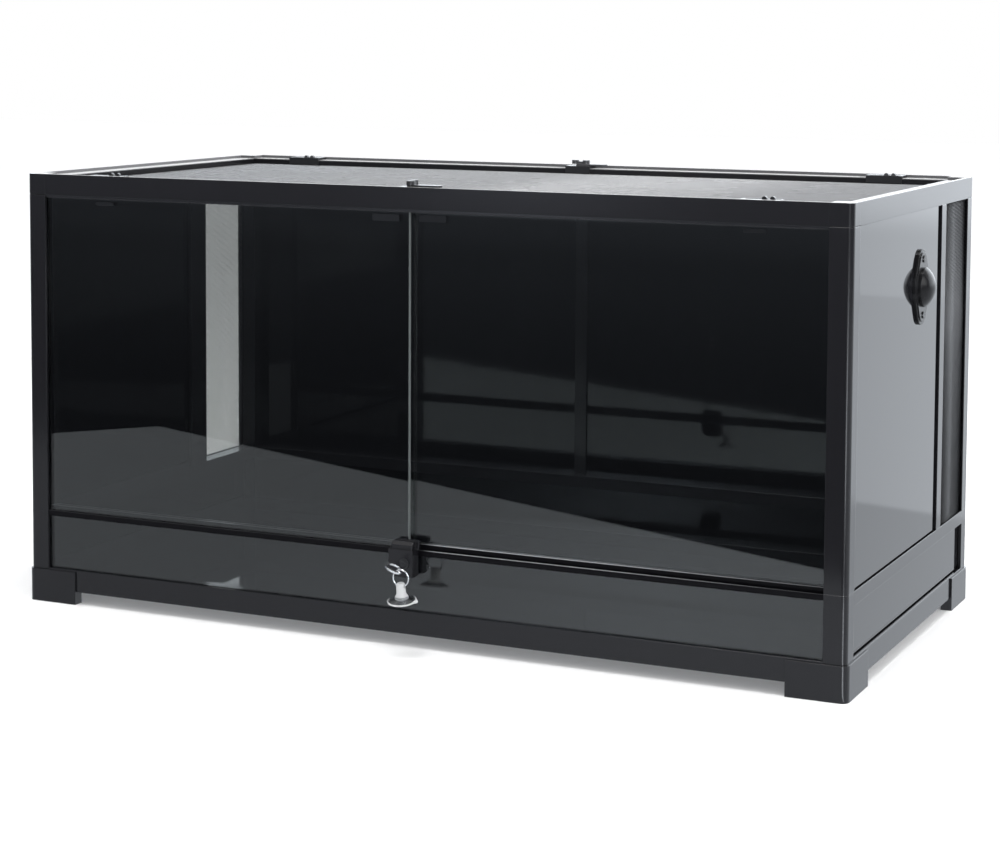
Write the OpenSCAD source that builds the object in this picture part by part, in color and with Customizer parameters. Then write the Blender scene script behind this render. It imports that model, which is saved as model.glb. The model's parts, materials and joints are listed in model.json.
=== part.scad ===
// Reptile terrarium of knock-down construction: a black frame of extruded rails and corner
// posts, two glass doors that slide in twin grooves, glossy wall panels, narrow mesh vents,
// a lift-out mesh lid, cable inlets, a hose port and a key lock on the lower track.
// The front of the cabinet faces -Y and the surface it stands on is z = 0.

/* [Cabinet] */
// Width of the cabinet over its corner posts
cabinet_w = 1000; // [760:10:1300]
// Depth of the cabinet over its corner posts
cabinet_d = 500; // [380:10:640]
// Height from the surface it stands on to the top rim
cabinet_h = 507.5; // [420:0.5:700]

/* [Frame profiles] */
// Depth of every rail and side length of every post
rail_w = 25; // [24:0.5:32]
// Radius of the outer vertical edge of posts, feet and corner caps
corner_r = 6.5; // [3:0.5:8]
// Wall of the hollow profiles
wall_t = 2; // [1.5:0.1:2.4]
// Height of the top rails
top_rail_h = 24.5; // [24:0.5:32]
// Height of the outer rim above the ledge that carries the top fittings
rim_h = 3.5; // [2.5:0.5:5]
// Thickness of the outer rim
rim_t = 4; // [3:0.5:4]
// Length of the tenons that join rails and posts
tenon_l = 16; // [8:1:24]
// Gap round a tenon in its chamber
tenon_gap = 0.3; // [0.1:0.05:0.5]
// Width and depth of the fine groove at the foot of each corner cap
joint_groove = 0.6; // [0.3:0.1:0.8]

/* [Base] */
// Height of the base module, up to the joint with the upper posts
base_h = 110; // [96:1:160]
// Gap between the surface and the bottom rails
ground_gap = 15; // [10:1:30]
// Height of the bottom rails
bottom_rail_h = 25.5; // [25:0.5:34]
// Height of the belt rails on top of the base module
belt_rail_h = 15; // [14:0.5:22]
// Inset of the base panels from the outer face
base_inset = 4; // [3:0.5:6]
// Height of the floor's upper face above the lower edge of the bottom rails
floor_rise = 9; // [7.5:0.5:18]
// Width of the ledge under the floor panel
floor_ledge = 8; // [5:1:12]

/* [Feet] */
// Height of a foot
foot_h = 38.5; // [32:0.5:39]
// Length of a foot along the front
foot_len_x = 64; // [45:1:90]
// Length of a foot along the side
foot_len_y = 74; // [45:1:90]
// Thickness of the foot below the rails
foot_wall = 11; // [7:0.5:16]
// How far a foot stands proud of the rails
foot_proud = 2; // [1:0.5:3]

/* [Panels and glass] */
// Thickness of the glass
glass_t = 4; // [3:0.5:5]
// Thickness of the opaque wall panels
panel_t = 4; // [3:0.5:5]
// Thickness of the floor panel
floor_t = 4; // [3:0.5:6]
// Inset of the upper wall panels from the outer face
panel_inset = 2; // [1.5:0.25:3]
// Depth of a panel's seat in a groove
seat_depth = 5; // [3:0.5:6]
// Gap on each side of a panel in its groove
panel_gap = 0.25; // [0.1:0.05:0.5]
// Thickness of the wire mesh sheets
mesh_t = 0.8; // [0.5:0.1:1.2]

/* [Sliding doors] */
// Overlap of the two doors where they meet
door_overlap = 4; // [2:1:30]
// How far a door reaches into its post
door_reach = 14; // [8:1:15]
// Gap on each side of a door in its groove
door_gap = 0.5; // [0.3:0.05:0.8]
// Thickness of the front lip of the tracks
track_lip_t = 2; // [1.5:0.25:2.5]
// Thickness of the rib between the two grooves
track_rib_t = 2.5; // [1.5:0.25:3]
// Height of the front lip of the lower track above its floor
track_lip_h = 3; // [2:0.5:6]
// Height of the rib and the rear wall of the lower track above its floor
track_rib_h = 8.5; // [6:0.5:12]
// How far the lower track reaches down from the base joint
track_drop = 7; // [6:0.5:9]
// Depth of the grooves of the upper track above the rail's lower edge
upper_groove = 12; // [9:0.5:13]
// How far the upper track shows below the rail
upper_show = 3; // [1:0.5:5]
// How far a door's top edge reaches into the upper track
door_top_in = 7; // [4:0.5:8]

/* [Door clips] */
// Length of the clip beside the meeting edge of a door
inner_clip_l = 33; // [20:1:45]
// Height of that clip
inner_clip_h = 7.5; // [4:0.5:12]
// Length of the clip near the outer end of a door
outer_clip_l = 25; // [15:1:45]
// Height of that clip
outer_clip_h = 4; // [3:0.5:12]
// Thickness of both clips
clip_t = 1.4; // [0.8:0.1:2]
// Distance of both clips below the top rail
clip_drop = 6; // [4:0.5:30]
// Distance from the meeting edge to the nearer clip
inner_clip_at = 12; // [6:1:40]
// Distance from the door's outer end to the further clip
outer_clip_at = 83; // [40:1:140]

/* [Side walls] */
// Width of the mesh vent at the rear of each side
vent_w = 102; // [60:1:140]
// Width of the dark channel between the side panel and the divider bar
channel_w = 10; // [6:1:24]
// Width of the divider bar
divider_w = 19; // [14:1:30]
// Thickness of the divider behind the outer face
divider_t = 12; // [10:0.5:16]
// Depth of the dark channel below the outer face
channel_depth = 7; // [6.5:0.5:8]
// Width of the strip that joins the two back panels
joiner_w = 16; // [12:1:30]

/* [Lid] */
// Depth of the mesh below the rim
lid_recess = 10; // [9:0.5:14]
// Width of the lid's frame
lid_bar = 22; // [14:1:40]
// Gap between the lid and the rails
lid_gap = 3; // [2.5:0.5:5]
// Width of the ledge under the lid
lid_ledge = 9; // [6:1:14]
// Thickness of that ledge
lid_ledge_t = 3; // [2:0.5:4]
// Wall of the lid's frame profile
lid_wall = 1.6; // [1.2:0.1:2.5]

/* [Top fittings] */
// Distance of the cable inlets from the cabinet's ends
inlet_end = 102; // [60:1:160]
// Length of a cable inlet's guide
inlet_l = 44; // [36:1:60]
// Thickness of the guides and latch seats on the ledge
seat_t = 3; // [2:0.25:3.25]
// Thickness of the skirts on the inner face of the rails
skirt_t = 1.5; // [1:0.1:2]
// Length of the cable hole
hole_l = 11; // [8:0.5:14]
// Width of the cable hole, from the rail's inner face
hole_w = 6; // [5:0.25:6.5]
// How far an inlet's shutter slides
inlet_travel = 13; // [11.5:0.5:15]
// Length of the latch seats
latch_seat_l = 33; // [26:1:50]
// Reach of a latch's arm from its pivot
latch_reach = 36; // [30:1:60]
// Width of a latch's arm
latch_arm_w = 12; // [8:1:14]
// Length of a latch's grip
latch_grip_l = 24; // [16:1:30]
// Diameter of a latch's pivot
latch_pin_d = 4; // [3:0.5:6]

/* [Hose port] */
// Distance from the port's centre to the rear edge of the side panel
port_back = 75; // [50:1:140]
// Distance from the rim down to the port's centre
port_down = 109.5; // [80:0.5:180]
// Height of the port's flange
port_flange_h = 84; // [76:1:110]
// Width of the port's flange
port_flange_w = 60; // [52:1:80]
// Thickness of the port's flange
port_flange_t = 4; // [3:0.5:6]
// Bore of the port
port_bore_d = 30; // [20:1:36]
// Diameter of the plug's dome
port_dome_d = 44; // [36:1:46]
// Height of the plug's dome above the flange
port_dome_h = 13.5; // [8:0.5:18]
// Distance between the port's two screws
port_screw_pitch = 62; // [56:1:68]

/* [Lock] */
// Sideways distance of the lock from the cabinet's centre
lock_x = 0.5; // [-20:0.5:20]
// Width of the lock's body
lock_w = 29.5; // [26:0.5:50]
// Height of the lock's body with its top part
lock_h = 38; // [34:0.5:48]
// Depth of the lock's body in front of the rail's face
lock_d = 13.5; // [11:0.5:20]
// Width of the narrower top part of the body
lock_top_w = 25.5; // [20:0.5:26]
// Depth of the top part in front of the rail's face
lock_top_d = 10; // [7:0.5:11]
// Height of the top part
lock_top_h = 8; // [6:0.5:9]
// How far the lock's body stands above the joint of the base module
lock_rise = 9.5; // [6:0.5:14]
// Diameter of the lock's cylinder
lock_cylinder_d = 12; // [9:0.5:16]
// Sideways distance of the keyhole from the middle of the body
keyhole_side = 4.5; // [0:0.5:6]
// Height of the keyhole above the lower end of the body
keyhole_h = 15; // [10:0.5:20]
// Angle at which the key rests
key_tilt = 25; // [0:1:45]
// Diameter of the key's bow
bow_d = 22; // [18:0.5:28]
// Width of the bow's rim
bow_rim = 3.5; // [3:0.5:4.5]
// Distance from the rail's face to the middle of the bow
bow_out = 37; // [34:0.5:50]
// Outer diameter of the key ring
key_ring_d = 20; // [18:0.5:26]
// Thickness of the key ring's wire
key_ring_t = 1.6; // [1:0.1:2]
// Diameter of the suction cup's rim
cup_d = 32; // [24:1:44]
// Diameter of the suction cup's neck
cup_neck_d = 10.5; // [9:0.5:12.5]
// Height of the suction cup
cup_h = 21; // [18:0.5:26]
// Lean of the hanging suction cup
cup_lean = 10; // [0:1:16]

/* [Hidden] */

// Smoothness of round shapes
$fn = 48;
// Overlap that keeps cutting shapes clear of the faces they cut
over = 1;
// Running clearance on the radius of pins in their holes
pin_gap = 0.05;

// Heights of the main levels
rail_bottom = ground_gap;
rail_top = ground_gap + bottom_rail_h;
floor_top = rail_bottom + floor_rise;
floor_ledge_t = 2.5;
belt_bottom = base_h - belt_rail_h;
upper_top = cabinet_h - top_rail_h;
ledge_z = cabinet_h - rim_h;
rail_inner_x = cabinet_w / 2 - rail_w;
rail_inner_y = cabinet_d / 2 - rail_w;

// Rear edge of the side panels and place of the cable inlets
side_panel_end = cabinet_d - rail_w - vent_w - divider_w - channel_w;
inlet_x = cabinet_w / 2 - inlet_end;

// Twin grooves of the door tracks, measured from the front face
groove_w = glass_t + 2 * door_gap;
track_front = base_inset - door_gap - track_lip_t;
groove_a = base_inset - door_gap;
groove_b = groove_a + groove_w + track_rib_t;
track_back = groove_b + groove_w + track_lip_t - door_gap;
door_a = groove_a + door_gap;
door_b = groove_b + door_gap;
track_bottom = base_h - track_drop;
track_floor = track_bottom + seat_depth / 2 + 1;
door_bottom = track_floor + 0.3;
door_top = upper_top + door_top_in;
door_end = rail_inner_x + door_reach;
door_w = door_end + door_overlap / 2;
upper_cavity_gap = 0.2;

// Heights and edges of the lid
lid_ledge_z = upper_top + lid_ledge_t + 1;
mesh_z = cabinet_h - lid_recess - mesh_t;
lid_half_x = rail_inner_x - lid_gap;
lid_half_y = rail_inner_y - lid_gap;

// Top fittings
seat_z = ledge_z + seat_t;
skirt_z = cabinet_h - lid_recess + 0.5;
slot_gap = 0.3;
shutter_l = inlet_travel + hole_l + 1;
shutter_t = seat_t - 0.6;
shutter_x = inlet_travel / 2;
hole_x = shutter_x + (shutter_l - inlet_travel) / 2;
latch_u = (rim_t + rail_w) / 2;
latch_z = seat_z + 0.1;
latch_arm_t = 2.2;
latch_grip_h = 4.8;

// Hose port
port_y = side_panel_end - port_back;
port_z = cabinet_h - port_down;
port_collar_d = port_bore_d + 8;
port_screw_d = 7.5;
port_reach = port_flange_t + port_dome_h;

// Lock, key and what hangs on the key
lock_top = base_h + lock_rise;
lock_bottom = lock_top - lock_h;
key_z = lock_bottom + keyhole_h;
lock_face_gap = 0.5;
key_t = 2;
ring_mid_r = (key_ring_d - key_ring_t) / 2;
hook_r = (bow_d - bow_rim) / 2;
key_x = lock_x + keyhole_side;
hook_x = key_x + hook_r * cos(key_tilt);
hook_z = key_z - hook_r * sin(key_tilt);
ring_drop = ring_mid_r - key_ring_t / 2 - norm([bow_rim, key_t]) / 2 - 0.1;
ring_z = hook_z - ring_drop;
// The ring's wire rises inside the neck, so the hole's centre lies above the wire
wire_rise = ring_mid_r - sqrt(ring_mid_r * ring_mid_r - cup_neck_d * cup_neck_d / 4);
cup_hole_d = wire_rise + 1.25 * key_ring_t + 0.7;
cup_pivot_z = ring_z - ring_mid_r;
cup_hole_up = wire_rise / 2;
cup_crown = cup_hole_up + cup_hole_d / 2 + 1.2;
cup_drop = cup_h - cup_crown;
cup_edge = 1;

// Shift that puts the origin under the middle of the whole object
reach_left = cabinet_w / 2 + foot_proud;
reach_right = cabinet_w / 2 - panel_inset + port_reach;
reach_front = cabinet_d / 2 + bow_out + cup_d / 2 * cos(cup_lean)
    - (cup_drop - cup_edge) * sin(cup_lean);
reach_rear = cabinet_d / 2 + foot_proud;
shift_x = (reach_left - reach_right) / 2;
shift_y = (reach_front - reach_rear) / 2;

frame_black = [0.11, 0.11, 0.12];
panel_black = [0.06, 0.06, 0.07];
clear_glass = [0.75, 0.85, 0.84, 0.35];
mesh_grey = [0.3, 0.3, 0.31];
bright_metal = [0.8, 0.8, 0.82];
clear_plastic = [0.9, 0.93, 0.95, 0.6];

// ---------------------------------------------------------------- placing

// Moves the cabinet so that the origin lies under the middle of the whole object
module place() {
    translate([shift_x, shift_y, 0]) children();
}

// Turns to one corner of the cabinet: side -1 left, +1 right; end -1 front, +1 rear.
// At the corner, x runs inwards along the front and y inwards along the side.
module at_corner(side, end) {
    mirror([side > 0 ? 1 : 0, 0, 0]) mirror([0, end > 0 ? 1 : 0, 0])
        translate([-cabinet_w / 2, -cabinet_d / 2, 0]) children();
}

// Turns to the front (-1) or the rear (+1): y runs inwards from the outer face
module at_end(end) {
    mirror([0, end > 0 ? 1 : 0, 0]) translate([0, -cabinet_d / 2, 0]) children();
}

// Turns to the left (-1) or the right (+1): x runs inwards from the outer face
module at_side(side) {
    mirror([side > 0 ? 1 : 0, 0, 0]) translate([-cabinet_w / 2, 0, 0]) children();
}

// Extrudes a cross-section of (inwards, up) along the front or the rear
module run_x(length) {
    rotate([90, 0, 90]) linear_extrude(length, center = true) children();
}

// Extrudes a cross-section of (inwards, up) along a side
module run_y(length) {
    rotate([90, 0, 0]) linear_extrude(length, center = true) children();
}

// Seat for the edge of a side panel in a corner piece
module side_seat(inset, low, high) {
    block([inset - panel_gap, rail_w - seat_depth, low],
        [inset + panel_t + panel_gap, rail_w + over, high]);
}

// Seat for the edge of a front or back panel in a corner piece
module end_seat(inset, low, high) {
    block([rail_w - seat_depth, inset - panel_gap, low],
        [rail_w + over, inset + panel_t + panel_gap, high]);
}

// A box from one corner to the opposite one
module block(from, to) {
    translate(from) cube(to - from);
}

// A square cross-section whose corner at the origin is rounded
module rounded_corner(size, radius) {
    difference() {
        square(size);
        difference() {
            translate([-over, -over]) square(radius + over);
            translate([radius, radius]) circle(radius);
        }
    }
}

// ---------------------------------------------------------------- base module

// Section of a bottom rail: a hollow box with a groove for the panel above it
module bottom_rail_section() {
    chamber_top = rail_top - seat_depth - wall_t - 1;
    difference() {
        translate([0, rail_bottom]) square([rail_w, bottom_rail_h]);
        translate([wall_t, rail_bottom + wall_t])
            square([rail_w - 2 * wall_t, chamber_top - rail_bottom - wall_t]);
        panel_groove(base_inset, rail_top - seat_depth, seat_depth + over);
    }
}

// Groove for a panel in a cross-section
module panel_groove(inset, z, height) {
    translate([inset - panel_gap, z]) square([panel_t + 2 * panel_gap, height]);
}

// Section of the ledge that carries the floor panel
module floor_ledge_section() {
    translate([rail_w, floor_top - floor_t - floor_ledge_t])
        square([floor_ledge, floor_ledge_t]);
}

module bottom_rail_x(end) {
    color(frame_black) place() at_end(end) {
        run_x(2 * rail_inner_x) bottom_rail_section();
        run_x(2 * rail_inner_x) floor_ledge_section();
    }
}

module bottom_rail_y(side) {
    color(frame_black) place() at_side(side) {
        run_y(2 * rail_inner_y) bottom_rail_section();
        run_y(2 * (rail_inner_y - floor_ledge - 0.3)) floor_ledge_section();
    }
}

// Section of the chamber that runs up a post, with room for the grooves round it
module post_chamber(gap) {
    offset_x = max(base_inset, panel_inset) + panel_t + panel_gap + wall_t;
    offset_y = track_back + 0.3;
    translate([offset_x + gap, offset_y + gap])
        square([rail_w - wall_t - offset_x - 2 * gap, rail_w - wall_t + 0.6 - offset_y - 2 * gap]);
}

// Tenon of a foot in the hollow of a bottom rail, as a section of (inwards, up)
module bottom_tenon_section() {
    chamber_top = rail_top - seat_depth - wall_t - 1;
    translate([wall_t + tenon_gap, rail_bottom + wall_t + tenon_gap])
        square([rail_w - 2 * (wall_t + tenon_gap),
            chamber_top - rail_bottom - wall_t - 2 * tenon_gap]);
}

// One foot: an L of two walls under the rails, a thin skin that laps them, and the corner
// block with tenons for both bottom rails and the base post
module foot(side, end) {
    outer = corner_r + foot_proud;
    color(frame_black) place() at_corner(side, end) {
        intersection() {
            translate([-foot_proud, -foot_proud, 0]) linear_extrude(foot_h)
                rounded_corner(foot_len_x + foot_len_y, outer);
            union() {
                block([-foot_proud, -foot_proud, 0], [foot_len_x, 0, foot_h]);
                block([-foot_proud, -foot_proud, 0], [0, foot_len_y, foot_h]);
                block([-foot_proud, -foot_proud, 0], [foot_len_x, foot_wall, ground_gap]);
                block([-foot_proud, -foot_proud, 0], [foot_wall, foot_len_y, ground_gap]);
                difference() {
                    block([-foot_proud, -foot_proud, 0], [rail_w, rail_w, foot_h]);
                    side_seat(base_inset, rail_top - seat_depth, foot_h + over);
                    end_seat(base_inset, rail_top - seat_depth, foot_h + over);
                }
            }
        }
        translate([rail_w - over, 0, 0]) rotate([90, 0, 90])
            linear_extrude(tenon_l + over) bottom_tenon_section();
        translate([0, rail_w + tenon_l, 0]) rotate([90, 0, 0])
            linear_extrude(tenon_l + over) bottom_tenon_section();
        linear_extrude(foot_h + tenon_l) post_chamber(tenon_gap);
    }
}

// One base post, with grooves for the panels, tenons for the belt rails and, at the front,
// pockets for the door ends
module base_post(side, end) {
    at_corner(side, end) {
        base_post_shaft(end);
        translate([0, rail_w + tenon_l, 0]) rotate([90, 0, 0])
            linear_extrude(tenon_l + over) belt_chamber(tenon_gap);
        if (end > 0)
            translate([rail_w - over, 0, 0]) rotate([90, 0, 90])
                linear_extrude(tenon_l + over) belt_chamber(tenon_gap);
    }
}

module base_post_shaft(end) {
    difference() {
        translate([0, 0, foot_h]) linear_extrude(base_h - foot_h) difference() {
            rounded_corner(rail_w, corner_r);
            post_chamber(0);
        }
        side_seat(base_inset, foot_h - over, base_h + over);
        end_seat(base_inset, foot_h - over, base_h + over);
        side_seat(panel_inset, base_h - seat_depth, base_h + over);
        if (end < 0)
            for (u = [groove_a, groove_b])
                block([rail_w - door_reach - 0.5, u, track_floor],
                    [rail_w + over, u + groove_w, base_h + over]);
        else
            end_seat(panel_inset, base_h - seat_depth, base_h + over);
    }
}

module base_posts() {
    color(frame_black) place() for (side = [-1, 1], end = [-1, 1]) base_post(side, end);
}

module floor_panel() {
    half_x = rail_inner_x - 0.5;
    half_y = rail_inner_y - 0.5;
    color(panel_black) place()
        block([-half_x, -half_y, floor_top - floor_t], [half_x, half_y, floor_top]);
}

// Section of a low panel between the bottom rail and what closes it above
module low_panel_section(top) {
    translate([base_inset, rail_top - seat_depth + 0.3])
        square([panel_t, top - rail_top + seat_depth - 0.3]);
}

module low_front_glass() {
    top = track_bottom + seat_depth / 2 - 0.3;
    color(clear_glass) place() at_end(-1) translate([0, base_inset, 0])
        block([-rail_inner_x - seat_depth + 0.5, 0, rail_top - seat_depth + 0.3],
            [rail_inner_x + seat_depth - 0.5, glass_t, top]);
}

module low_rear_panel() {
    color(panel_black) place() at_end(1)
        run_x(2 * (rail_inner_x + seat_depth - 0.5)) low_panel_section(belt_bottom + 3);
}

module low_side_panel(side) {
    color(panel_black) place() at_side(side)
        run_y(2 * (rail_inner_y + seat_depth - 0.5)) low_panel_section(belt_bottom + 3);
}

// Section of a belt rail: grooves for the low panel under it and the tall panel over it
module belt_section() {
    difference() {
        translate([0, belt_bottom]) square([rail_w, belt_rail_h]);
        panel_groove(base_inset, belt_bottom - over, 3.3 + over);
        panel_groove(panel_inset, base_h - seat_depth, seat_depth + over);
        belt_chamber(0);
    }
}

// Chamber of a belt rail
module belt_chamber(gap) {
    chamber_u = base_inset + panel_t + wall_t + 1;
    translate([chamber_u + gap, belt_bottom + wall_t + gap])
        square([rail_w - wall_t - chamber_u - 2 * gap, belt_rail_h - 2 * (wall_t + gap)]);
}

module belt_rail_x(end) {
    color(frame_black) place() at_end(end) run_x(2 * rail_inner_x) belt_section();
}

module belt_rail_y(side) {
    color(frame_black) place() at_side(side) run_y(2 * rail_inner_y) belt_section();
}

// Section of the lower door track: a floor on the low glass, a low front lip, the rib
// between the two grooves and a tall rear wall
module lower_track_section() {
    difference() {
        translate([track_front, track_bottom])
            square([track_back - track_front, track_floor - track_bottom + track_rib_h]);
        translate([base_inset - panel_gap, track_bottom - over])
            square([glass_t + 2 * panel_gap, seat_depth / 2 + over]);
        translate([track_front - over, track_floor + track_lip_h])
            square([groove_a + over, track_rib_h]);
        for (u = [groove_a, groove_b])
            translate([u, track_floor]) square([groove_w, track_rib_h + over]);
        translate([base_inset + glass_t + wall_t, track_bottom - over])
            square([track_back - base_inset - glass_t - 2 * wall_t, 1.5 + over]);
    }
}

module lower_track() {
    color(frame_black) place() at_end(-1) run_x(2 * rail_inner_x) lower_track_section();
}

// ---------------------------------------------------------------- upper frame

// One tall post with a groove for the side panel or mesh, a groove for the back panel at
// the rear, and two deep grooves for the doors at the front
module post(side, end) {
    color(frame_black) place() at_corner(side, end)
        translate([0, 0, base_h]) linear_extrude(upper_top - base_h) difference() {
            rounded_corner(rail_w, corner_r);
            post_chamber(0);
            translate([panel_inset - panel_gap, rail_w - seat_depth])
                square([panel_t + 2 * panel_gap, seat_depth + over]);
            if (end < 0)
                for (u = [groove_a, groove_b])
                    translate([rail_w - door_reach - 0.5, u])
                        square([door_reach + 0.5 + over, groove_w]);
            else
                translate([rail_w - seat_depth, panel_inset - panel_gap])
                    square([seat_depth + over, panel_t + 2 * panel_gap]);
        }
}

// Clear height of the upper wall panels, seated in the belt rails and the top rails
panel_low = base_h - seat_depth + 0.3;
panel_high = upper_top + seat_depth - 0.3;

module side_panel(side) {
    front_y = -rail_inner_y - seat_depth + 0.5;
    rear_y = -cabinet_d / 2 + side_panel_end;
    color(panel_black) place() difference() {
        at_side(side) block([panel_inset, front_y, panel_low],
            [panel_inset + panel_t, rear_y, panel_high]);
        if (side > 0) port_axis() cylinder(h = 60, r = port_collar_d / 2 + 0.3, center = true);
    }
}

// Section of the divider between side panel and mesh vent, seen from above: a recessed
// flange behind the panel's edge, a flush bar, and a slot for the mesh sheet
module divider_section() {
    bar_y = side_panel_end + channel_w;
    difference() {
        union() {
            translate([channel_depth, side_panel_end - 6])
                square([divider_t - channel_depth, channel_w + 6 + over]);
            translate([0, bar_y]) square([divider_t, divider_w]);
        }
        translate([panel_inset + (panel_t - mesh_t) / 2 - 0.2, bar_y + divider_w - seat_depth])
            square([mesh_t + 0.4, seat_depth + over]);
    }
}

module side_divider(side) {
    color(frame_black) place() at_side(side) translate([0, -cabinet_d / 2, base_h])
        linear_extrude(upper_top - base_h) divider_section();
}

module side_mesh(side) {
    front_y = side_panel_end + channel_w + divider_w - seat_depth + 0.4;
    rear_y = cabinet_d - rail_w + seat_depth - 0.5;
    u = panel_inset + (panel_t - mesh_t) / 2;
    color(mesh_grey) place() at_side(side) translate([0, -cabinet_d / 2, 0])
        block([u, front_y, panel_low], [u + mesh_t, rear_y, panel_high]);
}

module back_panel(side) {
    color(panel_black) place() at_end(1)
        mirror([side < 0 ? 1 : 0, 0, 0])
            block([1.3, panel_inset, panel_low],
                [rail_inner_x + seat_depth - 0.5, panel_inset + panel_t, panel_high]);
}

// Strip of H section that joins the two back panels
module back_joiner() {
    inner = panel_inset + panel_t + panel_gap;
    color(frame_black) place() at_end(1) translate([0, 0, base_h])
        linear_extrude(upper_top - base_h) {
            translate([-1, 0.2]) square([2, inner + 1]);
            translate([-joiner_w / 2, inner]) square([joiner_w, 2.2]);
            translate([-joiner_w / 2, 0.2]) square([joiner_w, panel_inset - panel_gap - 0.2]);
        }
}

// Outline of a top rail: outer face, rim, ledge for the fittings, and the lid's ledge
module top_rail_outline() {
    translate([0, upper_top]) square([rail_w, top_rail_h - rim_h]);
    translate([0, ledge_z - over]) square([rim_t, rim_h + over]);
}

module lid_ledge_section() {
    translate([rail_w - over, lid_ledge_z - lid_ledge_t])
        square([lid_ledge + over, lid_ledge_t]);
}

// Chamber of a top rail, clear of the cable holes
module top_chamber(gap) {
    low = upper_top + seat_depth + wall_t + 1;
    translate([wall_t + gap, low + gap])
        square([rail_w - hole_w - 2 * wall_t - 2 * gap, ledge_z - wall_t - low - 2 * gap]);
}

module wall_rail_section() {
    difference() {
        top_rail_outline();
        top_chamber(0);
        panel_groove(panel_inset, upper_top - over, seat_depth + over);
    }
}

// Cavity in the front rail that holds the upper track
module upper_cavity_section() {
    translate([track_front - upper_cavity_gap, upper_top - over])
        square([track_back - track_front + 2 * upper_cavity_gap,
            upper_groove + 1.7 + over]);
}

// Cable holes down through the inner side of a rail
module cable_holes() {
    for (x = [-inlet_x, inlet_x])
        block([x + hole_x - hole_l / 2, rail_w - hole_w, upper_top - over],
            [x + hole_x + hole_l / 2, rail_w + slot_gap, ledge_z + over]);
}

// Holes for the pivots of the latches
module latch_hole() {
    translate([0, latch_u, ledge_z - 4.5]) cylinder(h = 12, r = latch_pin_d / 2 + pin_gap);
}

module top_rail_front() {
    color(frame_black) place() at_end(-1) {
        difference() {
            run_x(2 * rail_inner_x) {
                difference() {
                    top_rail_outline();
                    upper_cavity_section();
                }
                lid_ledge_section();
            }
            cable_holes();
            latch_hole();
        }
    }
}

module top_rail_rear() {
    color(frame_black) place() at_end(1) {
        difference() {
            run_x(2 * rail_inner_x) {
                wall_rail_section();
                lid_ledge_section();
            }
            cable_holes();
            latch_hole();
        }
    }
}

module top_rail_side(side) {
    color(frame_black) place() at_side(side) {
        run_y(2 * rail_inner_y) wall_rail_section();
        run_y(2 * (rail_inner_y - lid_ledge - 0.3)) lid_ledge_section();
    }
}

// The upper track: twin grooves that guide the tops of the doors
module upper_track() {
    track_top = upper_top + upper_groove + 1.5;
    color(frame_black) place() at_end(-1) run_x(2 * rail_inner_x - 0.4) difference() {
        translate([track_front, upper_top - upper_show])
            square([track_back - track_front, track_top - upper_top + upper_show]);
        for (u = [groove_a, groove_b])
            translate([u, upper_top - upper_show - over])
                square([groove_w, upper_groove + upper_show + over]);
    }
}

// Fine groove round the outer faces at the foot of a corner cap
module cap_joint() {
    difference() {
        block([-over, -over, upper_top - over],
            [rail_w + over, rail_w + over, upper_top + joint_groove]);
        translate([joint_groove, joint_groove, upper_top - 2 * over]) linear_extrude(4 * over)
            rounded_corner(rail_w + over, corner_r - joint_groove);
    }
}

// One corner cap, flush with the rims, with a tenon down into the post
module corner_cap(side, end) {
    at_corner(side, end) {
        difference() {
            translate([0, 0, upper_top]) linear_extrude(top_rail_h)
                rounded_corner(rail_w, corner_r);
            cap_joint();
            side_seat(panel_inset, upper_top - over, upper_top + seat_depth);
            if (end < 0)
                for (u = [groove_a, groove_b])
                    block([rail_w - door_reach - 0.5, u, upper_top - over],
                        [rail_w + over, u + groove_w, upper_top + upper_groove]);
            else
                end_seat(panel_inset, upper_top - over, upper_top + seat_depth);
        }
        translate([0, 0, upper_top - tenon_l]) linear_extrude(tenon_l + over)
            post_chamber(tenon_gap);
        translate([0, rail_w + tenon_l, 0]) rotate([90, 0, 0])
            linear_extrude(tenon_l + over) top_chamber(tenon_gap);
        if (end > 0)
            translate([rail_w - over, 0, 0]) rotate([90, 0, 90])
                linear_extrude(tenon_l + over) top_chamber(tenon_gap);
    }
}

module corner_caps() {
    color(frame_black) place() for (side = [-1, 1], end = [-1, 1]) corner_cap(side, end);
}

// ---------------------------------------------------------------- doors

module left_door() {
    color(clear_glass) place() at_end(-1)
        block([-door_end, door_a, door_bottom], [-door_end + door_w, door_a + glass_t, door_top]);
}

module right_door() {
    color(clear_glass) place() at_end(-1)
        block([door_end - door_w, door_b, door_bottom], [door_end, door_b + glass_t, door_top]);
}

// The two clear clips on the front of a door: side -1 is the left door
module door_clips(side, door_u) {
    clip_top = upper_top - clip_drop;
    meeting = door_w - door_end;
    color(clear_plastic) place() at_end(-1) mirror([side > 0 ? 1 : 0, 0, 0]) {
        inner_x = meeting - inner_clip_at - inner_clip_l;
        block([inner_x, door_u - clip_t, clip_top - inner_clip_h],
            [inner_x + inner_clip_l, door_u, clip_top]);
        outer_x = -door_end + outer_clip_at;
        block([outer_x, door_u - clip_t, clip_top - outer_clip_h],
            [outer_x + outer_clip_l, door_u, clip_top]);
    }
}

// ---------------------------------------------------------------- lid

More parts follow.
